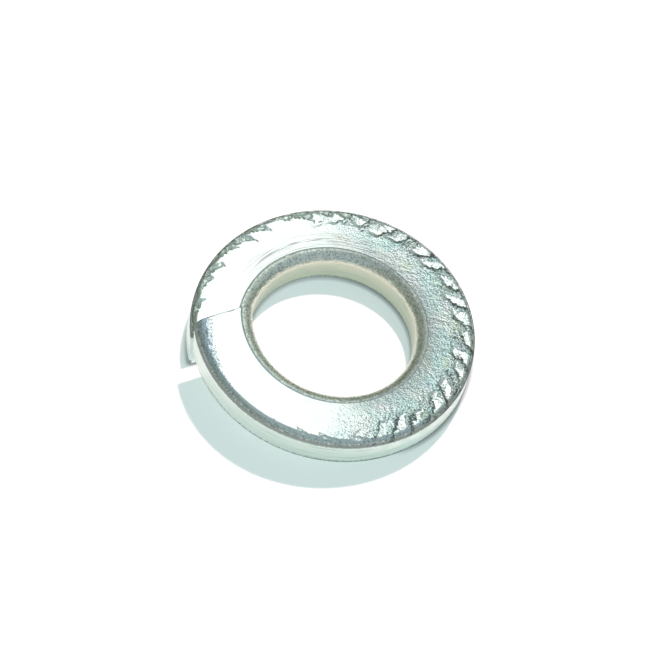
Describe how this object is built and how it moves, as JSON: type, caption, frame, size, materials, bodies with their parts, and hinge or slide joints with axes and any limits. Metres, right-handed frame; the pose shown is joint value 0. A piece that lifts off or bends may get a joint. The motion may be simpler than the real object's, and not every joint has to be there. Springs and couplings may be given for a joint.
{
  "type": "spring lock washer",
  "caption": "Split spring lock washer: a left-hand turn of zinc-plated rectangular wire with rounded edges, cut on a slant, its ends sprung apart along the bore.",
  "frame": {"origin": "on the bore axis, level with the lowest corner of the low end", "axes": "+Z along the bore axis, towards the face that the raised end belongs to; the split is at about 198 degrees from +X, seen from above"},
  "size_m": [0.0181, 0.018, 0.004],
  "materials": {
    "zinc": "bright zinc plate over rolled spring steel"
  },
  "bodies": {
    "root": {"spring_washer": "zinc"}
  },
  "joints": []
}
